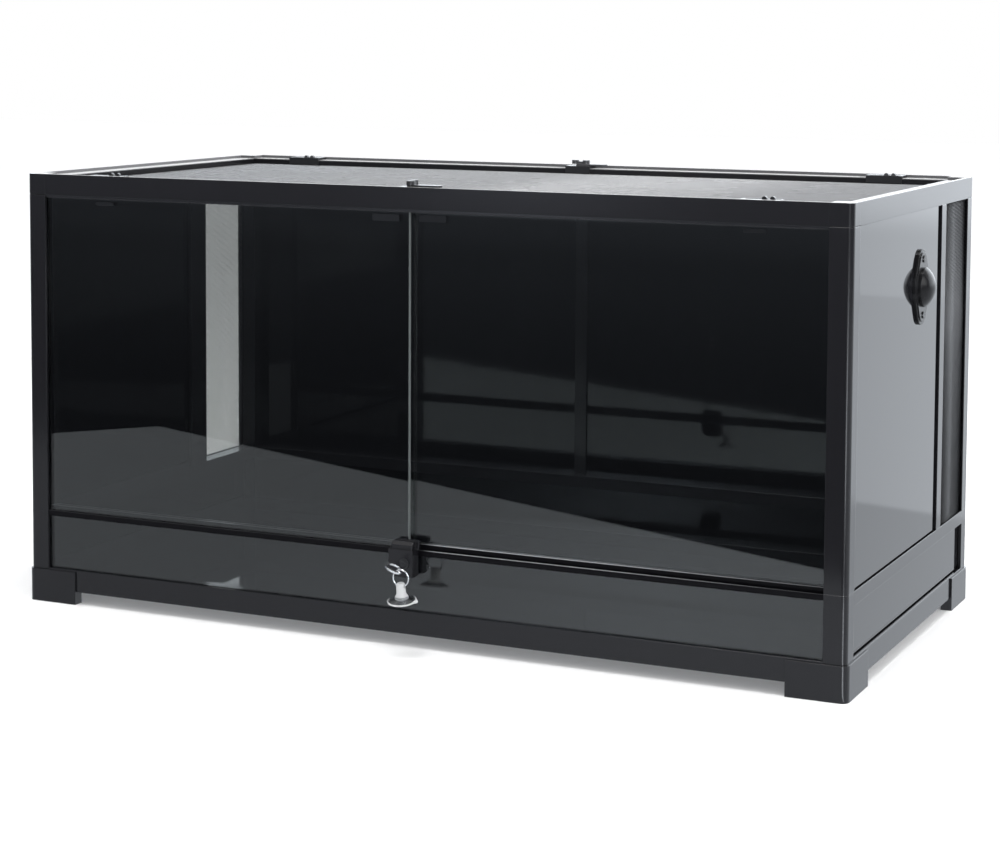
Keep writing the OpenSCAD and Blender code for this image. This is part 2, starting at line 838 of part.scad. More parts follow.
// Frame of the lid: a ring of channel section, open below
module lid_frame() {
    inner_x = lid_half_x - lid_bar;
    inner_y = lid_half_y - lid_bar;
    color(frame_black) place() difference() {
        block([-lid_half_x, -lid_half_y, lid_ledge_z], [lid_half_x, lid_half_y, mesh_z]);
        block([-inner_x, -inner_y, lid_ledge_z - over], [inner_x, inner_y, mesh_z + over]);
        difference() {
            block([-lid_half_x + lid_wall, -lid_half_y + lid_wall, lid_ledge_z - over],
                [lid_half_x - lid_wall, lid_half_y - lid_wall, mesh_z - 2 * lid_wall]);
            block([-inner_x - lid_wall, -inner_y - lid_wall, lid_ledge_z - 2 * over],
                [inner_x + lid_wall, inner_y + lid_wall, mesh_z]);
        }
    }
}

module lid_mesh() {
    half_x = lid_half_x - 1.5;
    half_y = lid_half_y - 1.5;
    color(mesh_grey) place()
        block([-half_x, -half_y, mesh_z], [half_x, half_y, mesh_z + mesh_t]);
}

// ---------------------------------------------------------------- top fittings

// Plate on the ledge with a skirt down the rail's inner face
module ledge_seat(length) {
    block([-length / 2, rim_t + 0.5, ledge_z], [length / 2, rail_w + skirt_t, seat_z]);
    block([-length / 2, rail_w, skirt_z], [length / 2, rail_w + skirt_t, seat_z]);
}

module latch_seats() {
    color(frame_black) place() for (end = [-1, 1])
        at_end(end) difference() {
            ledge_seat(latch_seat_l);
            latch_hole();
        }
}

// Turn latch: a pivot in the ledge, an arm along the rail and a waisted grip on top
module latch(end, grip_angle) {
    post_r = 4.6;
    grip_x = latch_grip_l / 2 - post_r;
    color(frame_black) place() at_end(end) translate([0, latch_u, latch_z]) {
        linear_extrude(latch_arm_t) {
            circle(latch_arm_w / 2);
            translate([0, -latch_arm_w / 2])
                square([latch_reach - latch_arm_w / 2, latch_arm_w]);
            translate([latch_reach - latch_arm_w / 2, 0]) circle(latch_arm_w / 2);
        }
        translate([0, 0, latch_arm_t - 0.1]) rotate([0, 0, grip_angle]) {
            for (x = [-grip_x, grip_x])
                translate([x, 0, 0]) cylinder(h = latch_grip_h + 0.1, r = post_r);
            translate([-grip_x, -post_r * 0.8, 0])
                cube([2 * grip_x, 2 * post_r * 0.8, latch_grip_h * 0.7]);
        }
        translate([0, 0, ledge_z - 4 - latch_z])
            cylinder(h = latch_z - ledge_z + 4.1, r = latch_pin_d / 2);
    }
}

// Guides of the cable inlets: a plate with a window in which the shutter slides
module inlet_guides() {
    window = shutter_l + inlet_travel + 2 * slot_gap;
    window_x = shutter_x - inlet_travel - shutter_l / 2 - slot_gap;
    color(frame_black) place() for (end = [-1, 1], x = [-inlet_x, inlet_x])
        at_end(end) translate([x, 0, 0]) difference() {
            ledge_seat(inlet_l);
            block([window_x, rail_w - hole_w - 1, ledge_z - over],
                [window_x + window, rail_w, seat_z + over]);
        }
}

// Shutter of one cable inlet, with a grip of two round ribs for a fingertip
module inlet_shutter(side, end) {
    low_u = rail_w - hole_w - 1 + slot_gap;
    high_u = rail_w - slot_gap;
    grip_half = 7;
    rib_r = 2.6;
    rib_z = seat_z + 3 - rib_r;
    color(frame_black) place() at_end(end) translate([side * inlet_x + shutter_x, 0, 0]) {
        block([-shutter_l / 2, low_u, ledge_z + 0.1], [shutter_l / 2, high_u, ledge_z + shutter_t]);
        block([-grip_half, low_u + 1, ledge_z + 0.1], [grip_half, high_u - 1, rib_z]);
        for (x = [rib_r - grip_half, grip_half - rib_r])
            translate([x, low_u + 1, rib_z]) rotate([-90, 0, 0])
                cylinder(h = high_u - low_u - 2, r = rib_r);
    }
}

// ---------------------------------------------------------------- hose port

// Axis of the port, pointing outwards from the right-hand side panel's face
module port_axis() {
    translate([cabinet_w / 2 - panel_inset, -cabinet_d / 2 + port_y, port_z])
        rotate([0, 90, 0]) children();
}

// Outline of the flange: a large circle and two small ones joined by their tangents.
// The long way of the outline lies along x, which the port's axis turns upright.
module flange_outline(shrink) {
    small = 19;
    reach = port_flange_h / 2 - small;
    hull() {
        circle(port_flange_w / 2 - shrink, $fn = 64);
        for (s = [-1, 1]) translate([s * reach, 0]) circle(small - shrink, $fn = 32);
    }
}

module port_flange() {
    color(frame_black) place() port_axis() difference() {
        union() {
            linear_extrude(port_flange_t - 1.2) flange_outline(0);
            linear_extrude(port_flange_t) flange_outline(3.5);
            translate([0, 0, -panel_t - 5]) cylinder(h = panel_t + 6, r = port_collar_d / 2);
        }
        translate([0, 0, -20]) cylinder(h = 40, r = port_bore_d / 2);
        for (s = [-1, 1])
            translate([s * port_screw_pitch / 2, 0, port_flange_t - 2])
                cylinder(h = 5, r = port_screw_d / 2 + 0.3);
    }
}

module port_screws() {
    color(frame_black) place() port_axis() for (s = [-1, 1])
        translate([s * port_screw_pitch / 2, 0, port_flange_t - 2]) difference() {
            cylinder(h = 3.2, r = port_screw_d / 2);
            translate([-port_screw_d, -0.5, 2.2]) cube([2 * port_screw_d, 1, 2]);
            translate([-0.5, -port_screw_d, 2.2]) cube([1, 2 * port_screw_d, 2]);
        }
}

// Plug of the port: a stem in the bore under a shallow dome
module port_plug() {
    rim = port_dome_d / 2;
    rim_edge = 3;
    rise = port_dome_h - rim_edge;
    ball = (rim * rim + rise * rise) / (2 * rise);
    stem = 12;
    color(panel_black) place() port_axis() translate([0, 0, port_flange_t]) {
        cylinder(h = rim_edge, r = rim);
        intersection() {
            translate([0, 0, rim_edge + rise - ball]) sphere(ball);
            translate([0, 0, rim_edge - 0.1]) cylinder(h = rise + over, r = rim);
        }
        translate([0, 0, -stem]) cylinder(h = stem + 0.1, r = port_bore_d / 2 - pin_gap);
    }
}

// ---------------------------------------------------------------- lock and key

// Outline of the lock's lower part seen from the front, with one lower corner cut off
module lock_outline() {
    half = lock_w / 2;
    clip = 8;
    high = lock_top - lock_top_h;
    polygon([[-half + clip, lock_bottom], [half, lock_bottom], [half, high],
        [-half, high], [-half, lock_bottom + clip]]);
}

// Section of the lock's narrower top part as (inwards, up), with a sloping front edge
module lock_top_section() {
    low = lock_top - lock_top_h - over;
    slope = 3.5;
    polygon([[-lock_top_d, low], [-lock_top_d, lock_top - slope],
        [slope - lock_top_d, lock_top], [track_front - 0.2, lock_top], [track_front - 0.2, low]]);
}

// Lock: a body in front of the track, a hook plate over the track's front lip and a foot
// on the glass below it
module lock_body() {
    plate_back = door_a - lock_face_gap;
    color(frame_black) place() at_end(-1) translate([lock_x, 0, 0]) difference() {
        union() {
            translate([0, track_front - 0.2, 0]) rotate([90, 0, 0])
                linear_extrude(lock_d + track_front - 0.2) lock_outline();
            run_x(lock_top_w) lock_top_section();
            block([1 - lock_top_w / 2, -over, track_floor + track_lip_h + 0.3],
                [lock_top_w / 2 + 3.5, plate_back, lock_top + 1]);
            block([3 - lock_w / 2, -over, lock_bottom + 3],
                [lock_w / 2 - 3, base_inset, track_bottom - 0.5]);
        }
        translate([keyhole_side, 0, key_z]) rotate([90, 0, 0]) translate([0, 0, -1])
            cylinder(h = lock_d + 2, r = lock_cylinder_d / 2 + pin_gap);
    }
}

// Turns to the key's own axes: z out of the keyhole, x across the bow
module key_axis() {
    translate([key_x, -cabinet_d / 2, key_z]) rotate([0, key_tilt, 0]) rotate([90, 0, 0])
        children();
}

module lock_cylinder() {
    color(bright_metal) place() key_axis() difference() {
        translate([0, 0, -0.7]) cylinder(h = lock_d + 1.5, r = lock_cylinder_d / 2);
        translate([-3.6, -key_t / 2 - 0.2, 0]) cube([7.2, key_t + 0.4, lock_d + 2]);
    }
}

// Flat key: a toothed blade, a shoulder and a round bow with a large hole
module key() {
    blade_from = 1;
    blade_w = 6.4;
    shoulder_w = 9.2;
    shoulder_at = lock_d + 1.4;
    color(bright_metal) place() key_axis() translate([0, -key_t / 2, 0]) rotate([90, 0, 0])
        mirror([0, 0, 1]) linear_extrude(key_t) difference() {
            union() {
                translate([-blade_w / 2, blade_from]) square([blade_w, bow_out - blade_from]);
                translate([-shoulder_w / 2, shoulder_at])
                    square([shoulder_w, bow_out - shoulder_at]);
                translate([0, bow_out]) circle(bow_d / 2);
            }
            translate([0, bow_out]) circle(bow_d / 2 - bow_rim);
            for (y = [3, 6, 9]) translate([blade_w / 2 + 0.4, y]) circle(0.9, $fn = 24);
        }
}

module key_ring() {
    color(bright_metal) place()
        translate([hook_x, -cabinet_d / 2 - bow_out, ring_z]) rotate([90, 0, 0])
            rotate_extrude() translate([ring_mid_r, 0]) circle(key_ring_t / 2, $fn = 24);
}

// Suction cup that hangs from the ring: a thin bell, a collar, a neck with a cross hole and a
// pull tab on the rim
module suction_cup() {
    neck_r = cup_neck_d / 2;
    rim_r = cup_d / 2;
    collar_z = 6;
    tab_w = 6;
    tab_out = 3;
    color(clear_plastic) place()
        translate([hook_x, -cabinet_d / 2 - bow_out, cup_pivot_z]) rotate([cup_lean, 0, 0])
            difference() {
                translate([0, 0, -cup_drop]) {
                    rotate_extrude() polygon([
                        [0, 3], [neck_r, 2.8], [rim_r - 1.5, 0.1], [rim_r, 0], [rim_r, cup_edge],
                        [neck_r + 2.4, collar_z - 1], [neck_r + 2, collar_z],
                        [neck_r + 0.6, collar_z + 1.5], [neck_r, cup_h / 2], [neck_r - 0.3, cup_h - 1.2], [neck_r - 1.5, cup_h],
                        [0, cup_h]]);
                    translate([rim_r - 2, -tab_w / 2, 0.3]) cube([tab_out + 2 - tab_w / 2, tab_w, 1.8]);
                    translate([rim_r + tab_out - tab_w / 2, 0, 0.3]) cylinder(h = 1.8, r = tab_w / 2);
                }
                translate([0, 0, cup_hole_up]) rotate([0, 90, 0])
                    cylinder(h = cup_d, r = cup_hole_d / 2, center = true);
            }
}

foot(-1, -1);  // foot_front_left
foot(1, -1);  // foot_front_right
foot(-1, 1);  // foot_rear_left
foot(1, 1);  // foot_rear_right
bottom_rail_x(-1);  // bottom_rail_front
bottom_rail_x(1);  // bottom_rail_rear
bottom_rail_y(-1);  // bottom_rail_left
bottom_rail_y(1);  // bottom_rail_right
base_posts();
floor_panel();
low_front_glass();
low_rear_panel();
low_side_panel(-1);  // low_left_panel
low_side_panel(1);  // low_right_panel
belt_rail_x(1);  // belt_rail_rear
belt_rail_y(-1);  // belt_rail_left
belt_rail_y(1);  // belt_rail_right
lower_track();
post(-1, -1);  // post_front_left
post(1, -1);  // post_front_right
post(-1, 1);  // post_rear_left
post(1, 1);  // post_rear_right
side_panel(-1);  // side_panel_left
side_panel(1);  // side_panel_right
side_divider(-1);  // side_divider_left
side_divider(1);  // side_divider_right
side_mesh(-1);  // side_mesh_left
side_mesh(1);  // side_mesh_right
back_panel(-1);  // back_panel_left
back_panel(1);  // back_panel_right
back_joiner();
top_rail_front();
top_rail_rear();
top_rail_side(-1);  // top_rail_left
top_rail_side(1);  // top_rail_right
upper_track();
corner_caps();
left_door();
right_door();
door_clips(-1, door_a);  // left_door_clips
door_clips(1, door_b);  // right_door_clips
lid_frame();
lid_mesh();
latch_seats();
latch(-1, 102);  // front_latch
latch(1, 0);  // rear_latch
inlet_guides();
inlet_shutter(-1, -1);  // inlet_front_left
inlet_shutter(1, -1);  // inlet_front_right
inlet_shutter(-1, 1);  // inlet_rear_left
inlet_shutter(1, 1);  // inlet_rear_right
port_flange();
port_screws();
port_plug();
lock_body();
lock_cylinder();
key();
key_ring();
suction_cup();
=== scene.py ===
# %% [markdown]
# # Reptile terrarium: dressing the CAD frame
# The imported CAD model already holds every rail, panel, door and fitting in metres. This lesson gives
# the terrarium its camera, its light, its finishes and the fine things that a CAD solid leaves out,
# above all the woven wire of the lid and of the side vents.

import json
import math

import bpy
from mathutils import Matrix, Vector


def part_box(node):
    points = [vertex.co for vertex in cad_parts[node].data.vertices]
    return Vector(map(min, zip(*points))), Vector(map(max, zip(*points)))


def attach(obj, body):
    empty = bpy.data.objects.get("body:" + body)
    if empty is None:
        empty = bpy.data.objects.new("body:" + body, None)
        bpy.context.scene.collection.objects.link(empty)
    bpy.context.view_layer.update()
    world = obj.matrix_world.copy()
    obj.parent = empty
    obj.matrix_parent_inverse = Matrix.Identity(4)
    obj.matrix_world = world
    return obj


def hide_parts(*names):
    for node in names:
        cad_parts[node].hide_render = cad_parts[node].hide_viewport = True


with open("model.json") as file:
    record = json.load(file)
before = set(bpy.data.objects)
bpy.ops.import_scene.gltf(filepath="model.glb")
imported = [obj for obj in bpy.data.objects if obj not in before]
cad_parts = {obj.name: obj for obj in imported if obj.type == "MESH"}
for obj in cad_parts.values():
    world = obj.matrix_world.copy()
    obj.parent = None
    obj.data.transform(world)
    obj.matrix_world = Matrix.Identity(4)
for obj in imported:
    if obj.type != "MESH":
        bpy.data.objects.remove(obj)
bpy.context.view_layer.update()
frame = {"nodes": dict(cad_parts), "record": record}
MM = 0.001

# %% [markdown]
# ## Places in the cabinet
# Everything below is placed from the CAD nodes' own boxes, so a change in the part moves the dressing
# with it. The cabinet's front left corner on the ground serves as the origin of the shop measures.

# %% Measure the cabinet
front_left_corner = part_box("post_front_left")[0]
rear_right_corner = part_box("post_rear_right")[1]
CABINET_LEFT = front_left_corner.x
CABINET_RIGHT = rear_right_corner.x
CABINET_FRONT = front_left_corner.y
CABINET_REAR = rear_right_corner.y
CABINET_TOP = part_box("corner_caps")[1].z
print("cabinet", round((CABINET_RIGHT - CABINET_LEFT) / MM), "x",
      round((CABINET_REAR - CABINET_FRONT) / MM), "x", round(CABINET_TOP / MM), "mm")


def cabinet_point(x, y, z):
    """A point given in millimetres from the cabinet's front left corner on the ground."""
    return Vector((CABINET_LEFT + x * MM, CABINET_FRONT + y * MM, z * MM))


# %% [markdown]
# ## The camera
# A long lens from the front right, a little above the lid. It looks only slightly down and the sensor is
# shifted for the rest, so the posts stay nearly upright in the picture.

# %% Set the camera
CAMERA_PLACE = (1654.3, -2245.2, 673.7)
CAMERA_YAW = 24.8984
CAMERA_PITCH = 4.398
CAMERA_ROLL = 0.2975
FOCAL_PIXELS = 2332.31
AXIS_ROW = 213.13
PICTURE_W = 1000
PICTURE_H = 858
SENSOR_MM = 36
VIEW_END = 50


def set_camera():
    yaw = math.radians(CAMERA_YAW)
    pitch = math.radians(CAMERA_PITCH)
    roll = math.radians(CAMERA_ROLL)
    forward = Vector((-math.sin(yaw) * math.cos(pitch), math.cos(yaw) * math.cos(pitch),
                      -math.sin(pitch)))
    level = Vector((math.cos(yaw), math.sin(yaw), 0))
    upward = level.cross(forward)
    right = level * math.cos(roll) + upward * math.sin(roll)
    up = -level * math.sin(roll) + upward * math.cos(roll)
    data = bpy.data.cameras.new("front_right_camera")
    data.sensor_width = SENSOR_MM
    data.lens = FOCAL_PIXELS / PICTURE_W * SENSOR_MM
    data.shift_y = (AXIS_ROW - PICTURE_H / 2) / PICTURE_W
    data.clip_end = VIEW_END
    camera = bpy.data.objects.new("front_right_camera", data)
    camera.matrix_world = Matrix.Translation(cabinet_point(*CAMERA_PLACE)) @ Matrix(
        (right, up, -forward)).transposed().to_4x4()
    bpy.context.scene.collection.objects.link(camera)
    bpy.context.scene.camera = camera
    return camera


camera = set_camera()
print("lens", round(camera.data.lens, 2), "mm, shift", round(camera.data.shift_y, 4))

# %% [markdown]
# ## The studio
# Glossy black plastic shows hardly any colour of its own: what is seen is the room. The room that the
# camera sees and the room that the gloss mirrors are therefore built apart. The camera sees a plain
# pale floor under an even white world. The mirrored room is a set of cards that only reflections find.

# %% A card of the stage
FLOOR_REACH = 12.0


def flat_card(name, corners, material):
    """A four- or more-cornered card that belongs to the stage, not to the terrarium."""
    mesh = bpy.data.meshes.new(name)
    mesh.from_pydata([tuple(c) for c in corners], [], [tuple(range(len(corners)))])
    mesh.materials.append(material)
    card = bpy.data.objects.new(name, mesh)
    bpy.context.scene.collection.objects.link(card)
    return card


def only_in_reflections(card, behind_glass=True):
    """Hides a card from the camera. Behind glass it stays, unless the camera could see it through it."""
    card.visible_camera = False
    card.visible_diffuse = False
    card.visible_shadow = False
    card.visible_transmission = behind_glass


print("card helpers ready")

# %% [markdown]
# ### Sums between shader nodes
# A pattern is worked out from coordinates by small nodes. Three helpers keep that readable: one gives
# the coordinates, one adds or multiplies, and one makes a smooth rise from one value to another.

# %% Sums between shader nodes


def ramp(tree, value, start, end, low, high):
    """A smooth rise from low to high while value goes from start to end."""
    node = tree.nodes.new("ShaderNodeMapRange")
    node.interpolation_type = "SMOOTHSTEP"
    node.inputs["From Min"].default_value = start
    node.inputs["From Max"].default_value = end
    node.inputs["To Min"].default_value = low
    node.inputs["To Max"].default_value = high
    tree.links.new(value, node.inputs["Value"])
    return node.outputs["Result"]


def math_of(tree, operation, first, second):
    """One step of arithmetic on two terms, each a socket or a number."""
    node = tree.nodes.new("ShaderNodeMath")
    node.operation = operation
    for socket, term in zip(node.inputs, (first, second)):
        if isinstance(term, (int, float)):
            socket.default_value = term
        else:
            tree.links.new(term, socket)
    return node.outputs[0]


def object_axes(tree):
    """The X, Y and Z sockets of the Object coordinates."""
    place = tree.nodes.new("ShaderNodeTexCoord")
    split = tree.nodes.new("ShaderNodeSeparateXYZ")
    tree.links.new(place.outputs["Object"], split.inputs[0])
    return [split.outputs[axis] for axis in "XYZ"]


print("sum helpers ready")

# %% [markdown]
# ### What the cards are made of
# The floor that the camera sees is a matt surface with a little light of its own. The mirrored cards are
# pure emission, so that their tone doesn't depend on the lamps.

# %% Materials of the stage


def matt_material(name, color, emission):
    """A fully matt surface that is also a little lit from within."""
    material = bpy.data.materials.new(name)
    material.use_nodes = True
    shader = material.node_tree.nodes["Principled BSDF"]
    shader.inputs["Base Color"].default_value = (*color, 1)
    shader.inputs["Roughness"].default_value = 1.0
    shader.inputs["Emission Color"].default_value = (*color, 1)
    shader.inputs["Emission Strength"].default_value = emission
    return material


def glow_material(name, color, strength):
    """An emission whose strength is worked out from the card's own coordinates."""
    material = bpy.data.materials.new(name)
    material.use_nodes = True
    tree = material.node_tree
    tree.nodes.clear()
    glow = tree.nodes.new("ShaderNodeEmission")
    glow.inputs["Color"].default_value = (*color, 1)
    tree.links.new(strength(tree, *object_axes(tree)), glow.inputs["Strength"])
    out = tree.nodes.new("ShaderNodeOutputMaterial")
    tree.links.new(glow.outputs[0], out.inputs["Surface"])
    return material


print("stage materials ready")

# %% [markdown]
# ### The floor that the camera sees
# It is pale, matt and a little self-lit, so that it runs into the white world without a horizon. It is
# hidden from mirror rays, which find the card of the next step instead.

# %% Lay the floor
FLOOR_COLOR = (0.86, 0.86, 0.86)
FLOOR_GLOW = 0.12
pale = matt_material("studio_floor", FLOOR_COLOR, FLOOR_GLOW)
floor = flat_card("studio_floor", [(-FLOOR_REACH, -FLOOR_REACH, 0), (FLOOR_REACH, -FLOOR_REACH, 0),
                                   (FLOOR_REACH, FLOOR_REACH, 0), (-FLOOR_REACH, FLOOR_REACH, 0)], pale)
floor.visible_glossy = False
print("floor", 2 * FLOOR_REACH, "m wide")

# %% [markdown]
# ### The floor that the gloss mirrors
# In front of the terrarium the mirrored floor is dim on the left and brighter on the right. Beside
# the terrarium it lies in two bands: a dimmer one near the wall and a brighter one beyond it. The line
# between them is what crosses the lower part of the side wall.

# %% Lay the mirrored floor
COOL = (0.89, 0.94, 1.0)
FRONT_GLOW_LEFT = 0.6
FRONT_GLOW_RIGHT = 0.92
SIDE_GLOW_NEAR = 1.05
SIDE_GLOW_FAR = 1.42
BAND_SOFTNESS = 0.02
BAND_LEFT = cabinet_point(1136, 959, 0)
BAND_RIGHT = cabinet_point(1267, 996, 0)
HAIR = 0.0005


def front_glow(tree, x, y, z):
    return ramp(tree, x, CABINET_LEFT, CABINET_RIGHT, FRONT_GLOW_LEFT, FRONT_GLOW_RIGHT)


def side_glow(tree, x, y, z):
    slope = (BAND_RIGHT.y - BAND_LEFT.y) / (BAND_RIGHT.x - BAND_LEFT.x)
    tilted = math_of(tree, "SUBTRACT", y, math_of(tree, "MULTIPLY", x, slope))
    line = BAND_LEFT.y - slope * BAND_LEFT.x
    return ramp(tree, tilted, line - BAND_SOFTNESS, line + BAND_SOFTNESS, SIDE_GLOW_NEAR, SIDE_GLOW_FAR)


def floor_card(name, low_y, high_y, glow):
    return flat_card(name, [(-FLOOR_REACH, low_y, HAIR), (FLOOR_REACH, low_y, HAIR),
                            (FLOOR_REACH, high_y, HAIR), (-FLOOR_REACH, high_y, HAIR)],
                     glow_material(name, COOL, glow))


only_in_reflections(floor_card("mirrored_floor_front", -FLOOR_REACH, CABINET_FRONT, front_glow))
only_in_reflections(floor_card("mirrored_floor_side", CABINET_FRONT, FLOOR_REACH, side_glow), False)
print("mirrored floor laid")

# %% [markdown]
# ### The dark room in front
# The pale floor of the real room ends in front of the terrarium. Its slanting edge is what crosses
# both doors as a bright and a dark field, so the dark card starts exactly along that edge. Dark walls
# stand for the unlit studio in front and at the sides. They glow faintly, and more so higher up, where
# the top rail and the upper part of the doors mirror them.

# %% Set the dark cards
FLOOR_EDGE_LEFT = (-537.0, -1083.0)
FLOOR_EDGE_RIGHT = (1500.0, -250.0)
CARD_HEIGHT = 5.0
ROOM_FRONT = -4.2
ROOM_LEFT = -8.0
ROOM_RIGHT = 4.0
ROOM_REAR = 3.0
ROOM_RIGHT_REAR = 1.5
BEYOND_GLOW_NEAR = 0.042
BEYOND_GLOW_FAR = 0.09
ROOM_GLOW_LOW = 0.14
ROOM_GLOW_HIGH = 0.28
ROOM_GLOW_FROM = 0.125
ROOM_GLOW_FULL = 0.155
SPOT_X = cabinet_point(-1150, 0, 0).x
SPOT_GLOW = 0.75
SPOT_SIZE = 0.6
ROOM_COLOR = (0.88, 0.95, 1.1)
LEFT_END_OFFSET = Vector((-0.61, 0.7, 0))
edge_left = cabinet_point(*FLOOR_EDGE_LEFT, 0)
edge_right = cabinet_point(*FLOOR_EDGE_RIGHT, 0)
lift = Vector((0, 0, MM))
far = Vector((0, -FLOOR_REACH, 0))
left_end = edge_left + LEFT_END_OFFSET


def floor_beyond_glow(tree, x, y, z):
    return ramp(tree, y, ROOM_FRONT, edge_left.y, BEYOND_GLOW_FAR, BEYOND_GLOW_NEAR)


def room_glow(tree, x, y, z):
    aside = math_of(tree, "ABSOLUTE", math_of(tree, "SUBTRACT", x, SPOT_X), 0.0)
    high = math_of(tree, "ADD", ramp(tree, aside, 0.0, SPOT_SIZE, SPOT_GLOW, 0.0),
                   ROOM_GLOW_HIGH - ROOM_GLOW_LOW)
    share = ramp(tree, z, ROOM_GLOW_FROM, ROOM_GLOW_FULL, 0.0, 1.0)
    low = ramp(tree, z, 0.0, ROOM_GLOW_FROM, BEYOND_GLOW_FAR, ROOM_GLOW_LOW)
    return math_of(tree, "ADD", math_of(tree, "MULTIPLY", high, share), low)


def upright_card(name, start, end, bottom, top, material):
    return flat_card(name, [(*start, bottom), (*end, bottom), (*end, top), (*start, top)], material)


only_in_reflections(flat_card("dark_floor_beyond", [
    edge_left + lift, left_end + lift, left_end + lift + Vector((-FLOOR_REACH, 0, 0)),
    left_end + lift + Vector((-FLOOR_REACH, -FLOOR_REACH, 0)),
    edge_right + lift + far, edge_right + lift],
    glow_material("dark_floor", ROOM_COLOR, floor_beyond_glow)))
room = glow_material("dark_room", ROOM_COLOR, room_glow)
only_in_reflections(upright_card("dark_room_front", (ROOM_LEFT, ROOM_FRONT), (ROOM_RIGHT, ROOM_FRONT),
                                 0, CARD_HEIGHT, room))
only_in_reflections(upright_card("dark_room_left", (ROOM_LEFT, ROOM_FRONT), (ROOM_LEFT, ROOM_REAR),
                                 0, CARD_HEIGHT, room))
only_in_reflections(upright_card("dark_room_right", (ROOM_RIGHT, ROOM_FRONT),
                                 (ROOM_RIGHT, ROOM_RIGHT_REAR), 0, CARD_HEIGHT, room))
print("dark cards set")

# %% [markdown]
# ### The bright backdrop
# Level surfaces near the camera's height, such as the lid's mesh, the ledges and the rims, are seen at
# a grazing angle and mirror a strip of the backdrop behind the terrarium. A bright card there gives
# them their pale sheen. Low down it only carries on the floor's own brightness, for the side wall, and
# between the two lies the tone that the side of the top rail mirrors.

# %% Hang the backdrop card
BACKDROP_Y = 3.4
BACKDROP_TOP = 3.2
BACKDROP_LOW_GLOW = 1.65
BACKDROP_RAIL_GLOW = 2.25
BACKDROP_LEFT_GLOW = 2.7
BACKDROP_RIGHT_GLOW = 4.2
RAIL_FROM = 0.15
RAIL_FULL = 0.26
BRIGHT_FROM = 0.34
BRIGHT_FULL = 0.6
BRIGHT_LEFT_X = -3.6
BRIGHT_RIGHT_X = 0.2
BACKDROP_HALF_WIDTH = 9


def backdrop_glow(tree, x, y, z):
    bright = ramp(tree, x, BRIGHT_LEFT_X, BRIGHT_RIGHT_X, BACKDROP_LEFT_GLOW - BACKDROP_RAIL_GLOW,
                  BACKDROP_RIGHT_GLOW - BACKDROP_RAIL_GLOW)
    share = ramp(tree, z, BRIGHT_FROM, BRIGHT_FULL, 0.0, 1.0)
    low = ramp(tree, z, RAIL_FROM, RAIL_FULL, BACKDROP_LOW_GLOW, BACKDROP_RAIL_GLOW)
    return math_of(tree, "ADD", math_of(tree, "MULTIPLY", bright, share), low)


only_in_reflections(upright_card("backdrop_glow", (-BACKDROP_HALF_WIDTH, BACKDROP_Y),
                                 (BACKDROP_HALF_WIDTH, BACKDROP_Y), HAIR, BACKDROP_TOP,
                                 glow_material("backdrop_glow", COOL, backdrop_glow)), False)
print("backdrop card hung")

# %% [markdown]
# ### A strip light for the upright edges
# The rounded corners of posts, caps and feet turn from the dark room towards the bright side. A narrow
# upright strip at the front right draws the thin pale line that runs down them. Its streak on the floor
# carries the line on down the base and the foot.

# %% Set the strip light card
STRIP_LEFT = (1.8, -3.7)
STRIP_RIGHT = (2.7, -3.3)
STRIP_BOTTOM = 0.3
STRIP_TOP = 3.4
STRIP_FADE = 0.2
STRIP_GLOW = 14.0
STREAK_GLOW = 9.0


def strip_glow(tree, x, y, z):
    return ramp(tree, z, STRIP_BOTTOM, STRIP_BOTTOM + STRIP_FADE, 0.0, STRIP_GLOW)


def streak_glow(tree, x, y, z):
    return ramp(tree, y, STRIP_LEFT[1], CABINET_FRONT, STREAK_GLOW / 2, STREAK_GLOW)


only_in_reflections(upright_card("strip_light", STRIP_LEFT, STRIP_RIGHT, STRIP_BOTTOM, STRIP_TOP,
                                 glow_material("strip_light", COOL, strip_glow)), False)
front_corner = cabinet_point(1000, 0, 0)
only_in_reflections(flat_card("strip_on_floor", [
    (front_corner.x, front_corner.y, 2 * HAIR), (*STRIP_LEFT, 2 * HAIR), (*STRIP_RIGHT, 2 * HAIR)],
    glow_material("strip_on_floor", COOL, streak_glow)), False)
print("strip light set")

# %% [markdown]
# ### Lamps and world
# A large soft box above gives the thin bright lines along the upper edges, a smaller one on the right
# lights the side wall and the fittings, and the even world fills the rest.

# %% Place the lamps
LAMP_TARGET = (0, 0, 0.3)


def area_light(name, place, size, power):
    data = bpy.data.lights.new(name, "AREA")
    data.shape = "RECTANGLE"
    data.size, data.size_y = size
    data.energy = power
    light = bpy.data.objects.new(name, data)
    light.location = place
    aim = Vector(LAMP_TARGET) - Vector(place)
    light.rotation_euler = aim.to_track_quat("-Z", "Y").to_euler()
    bpy.context.scene.collection.objects.link(light)


area_light("top_softbox", place=(0.2, -0.3, 2.8), size=(2.4, 0.6), power=60)
area_light("right_softbox", place=(3.2, -0.6, 1.6), size=(1.6, 1.6), power=30)

world = bpy.data.worlds.new("studio_world")
world.use_nodes = True
world.node_tree.nodes["Background"].inputs["Color"].default_value = (1, 1, 1, 1)
world.node_tree.nodes["Background"].inputs["Strength"].default_value = 1.0
bpy.context.scene.world = world
bpy.context.scene.view_settings.view_transform = "Standard"
print("lamps and world set")

# %% [markdown]
# ## Finishes
# A moulded or extruded surface is never quite even. Each finish starts from a Principled shader and
# adds a faint, large unevenness to its roughness. Some also get softened edges and a very fine grain.
# All of it is read from Object coordinates, so that nothing slides when a door moves.

# %% A finish with faint unevenness
CLOUD_SIZE = 9.0
CLOUD_DETAIL = 3
BEVEL_SAMPLES = 4
GRAIN_STRENGTH = 0.5


